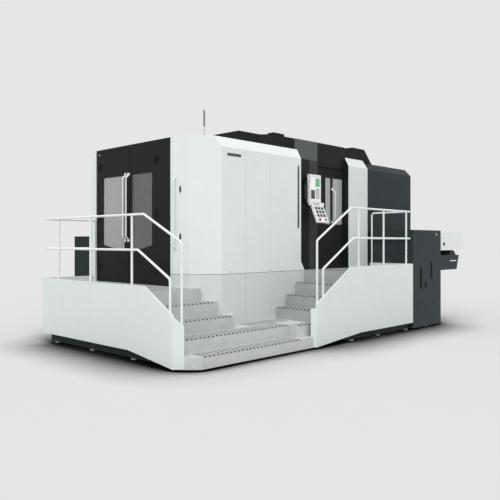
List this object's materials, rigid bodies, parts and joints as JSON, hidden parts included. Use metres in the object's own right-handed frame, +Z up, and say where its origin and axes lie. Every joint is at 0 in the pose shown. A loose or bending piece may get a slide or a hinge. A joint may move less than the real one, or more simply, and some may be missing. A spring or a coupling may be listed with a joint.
{
  "type": "machining center",
  "caption": "Horizontal machining center with pallet changer and tool magazine, swinging setup doors, sliding operator door, stair platforms with handrails",
  "frame": {"origin": "middle of the whole machine in plan, on the floor", "axes": "+X along the long side from the setup station to the magazine, +Y from the stairs to the back, +Z up"},
  "size_m": [8.06, 4.9, 3.87],
  "materials": {
    "white_paint": "satin white powder coat",
    "light_grey_paint": "light grey powder coat",
    "grey_sheet": "grey sheet steps with slots",
    "black_paint": "fine textured black powder coat",
    "dark_grey_paint": "dark grey powder coat",
    "chute_paint": "mid grey powder coat",
    "window": "grey laminated safety glass",
    "handle_chrome": "brushed stainless tube",
    "screen_glass": "lit screen under a clear front",
    "lamp": "tinted lamp cover",
    "signal_plastic": "frosted lamp tube",
    "red_button": "gloss red",
    "knob_black": "fine matt black",
    "foot_steel": "plated steel",
    "cast_paint": "painted casting",
    "machined_steel": "ground steel",
    "arm_paint": "light grey paint"
  },
  "bodies": {
    "base": {"lower_steps": "grey_sheet", "left_flight": "grey_sheet", "left_deck": "grey_sheet", "right_flight": "grey_sheet", "right_deck": "grey_sheet", "left_panel": "light_grey_paint", "right_panel": "light_grey_paint", "left_handrail": "white_paint", "right_handrail": "white_paint", "left_plinth": "dark_grey_paint", "right_plinth": "dark_grey_paint", "levelling_feet": "foot_steel", "main_cover": "white_paint", "status_light": "lamp", "lower_wall": "light_grey_paint", "corner_post": "white_paint", "setup_frame": "black_paint", "operator_frame": "black_paint", "white_column": "white_paint", "magazine_cover": "dark_grey_paint", "high_roof": "black_paint", "low_roof": "light_grey_paint", "grab_bar": "white_paint", "signal_rod": "signal_plastic", "bed": "cast_paint", "changer_base": "cast_paint", "magazine_stand": "cast_paint", "tool_arm_housing": "cast_paint", "tank_cabinet": "dark_grey_paint", "chip_conveyor": "chute_paint", "mist_collector": "white_paint", "electric_cabinet": "dark_grey_paint"},
    "far_door": {"far_leaf": "black_paint", "far_window": "window", "far_handle": "handle_chrome"},
    "near_door": {"near_leaf": "black_paint", "near_window": "window", "near_handle": "handle_chrome"},
    "sliding_door": {"operator_door": "black_paint", "operator_window": "window", "operator_handle": "handle_chrome"},
    "control_panel": {"screen_housing": "white_paint", "screen": "screen_glass"},
    "keys": {"keyboard": "white_paint"},
    "stop": {"stop_button": "red_button"},
    "dial": {"feed_dial": "knob_black"},
    "travelling_column": {"column": "cast_paint"},
    "head": {"spindle_head": "cast_paint"},
    "spindle_set": {"spindle": "machined_steel", "milling_tool": "machined_steel"},
    "table_slide_body": {"table_saddle": "cast_paint"},
    "rotary": {"rotary_table": "machined_steel", "work_pallet": "machined_steel"},
    "lift": {"lift_post": "machined_steel"},
    "changer": {"changer_arm": "arm_paint", "setup_pallet": "machined_steel"},
    "magazine": {"magazine_wheel": "machined_steel"},
    "exchange_arm": {"tool_arm": "machined_steel"},
    "cabinet_door": {"tank_door": "dark_grey_paint"},
    "electric_cabinet_door": {"electric_door": "dark_grey_paint"}
  },
  "joints": [
    {"name": "far_door_hinge", "type": "hinge", "parent": "base", "child": "far_door", "pos_m": [-2.984, 1.26, 2.1], "axis": [0, 0, -1], "range_deg": [0, 85]},
    {"name": "near_door_hinge", "type": "hinge", "parent": "base", "child": "near_door", "pos_m": [-2.984, -0.4, 2.1], "axis": [0, 0, 1], "range_deg": [0, 85]},
    {"name": "operator_door_slide", "type": "slide", "parent": "base", "child": "sliding_door", "axis": [-1, 0, 0], "range_m": [0, 0.45]},
    {"name": "panel_swivel", "type": "hinge", "parent": "base", "child": "control_panel", "pos_m": [-0.36, -1.415, 2.65], "axis": [0, 0, 1], "range_deg": [-60, 0]},
    {"name": "keyboard_tilt", "type": "hinge", "parent": "control_panel", "child": "keys", "pos_m": [-0.155, -1.512, 2.405], "axis": [-1, 0, 0], "range_deg": [-25, 55]},
    {"name": "stop_press", "type": "slide", "parent": "keys", "child": "stop", "axis": [0, 0.9171, -0.3987], "range_m": [0, 0.005]},
    {"name": "dial_turn", "type": "hinge", "parent": "keys", "child": "dial", "pos_m": [-0.07, -1.65954, 2.11585], "axis": [0, -0.9171, 0.3987], "range_deg": [-140, 140]},
    {"name": "column_slide", "type": "slide", "parent": "base", "child": "travelling_column", "axis": [0, 1, 0], "range_m": [-0.75, 0.55]},
    {"name": "head_slide", "type": "slide", "parent": "travelling_column", "child": "head", "axis": [0, 0, 1], "range_m": [-0.32, 0.6]},
    {"name": "spindle_spin", "type": "hinge", "parent": "head", "child": "spindle_set", "pos_m": [1.3, 0.43, 2], "axis": [1, 0, 0], "continuous": true},
    {"name": "table_slide", "type": "slide", "parent": "base", "child": "table_slide_body", "axis": [1, 0, 0], "range_m": [-0.9, 0.2]},
    {"name": "rotary_turn", "type": "hinge", "parent": "table_slide_body", "child": "rotary", "pos_m": [0.6, 0.43, 1.2], "axis": [0, 0, 1], "continuous": true},
    {"name": "changer_lift", "type": "slide", "parent": "base", "child": "lift", "axis": [0, 0, 1], "range_m": [0, 0.06]},
    {"name": "changer_turn", "type": "hinge", "parent": "lift", "child": "changer", "pos_m": [-1.15, 0.43, 1.2], "axis": [0, 0, 1], "range_deg": [0, 180]},
    {"name": "magazine_spin", "type": "hinge", "parent": "base", "child": "magazine", "pos_m": [2.5, -1.28, 1.85], "axis": [0, 1, 0], "continuous": true},
    {"name": "tool_arm_turn", "type": "hinge", "parent": "base", "child": "exchange_arm", "pos_m": [1.2, -0.74, 2], "axis": [1, 0, 0], "range_deg": [0, 90]},
    {"name": "tank_door_hinge", "type": "hinge", "parent": "base", "child": "cabinet_door", "pos_m": [2.84, -2.45, 1.2], "axis": [0, 0, 1], "range_deg": [0, 100]},
    {"name": "electric_door_hinge", "type": "hinge", "parent": "base", "child": "electric_cabinet_door", "pos_m": [-2.9, 2.253, 0.9], "axis": [0, 0, -1], "range_deg": [0, 90]}
  ]
}
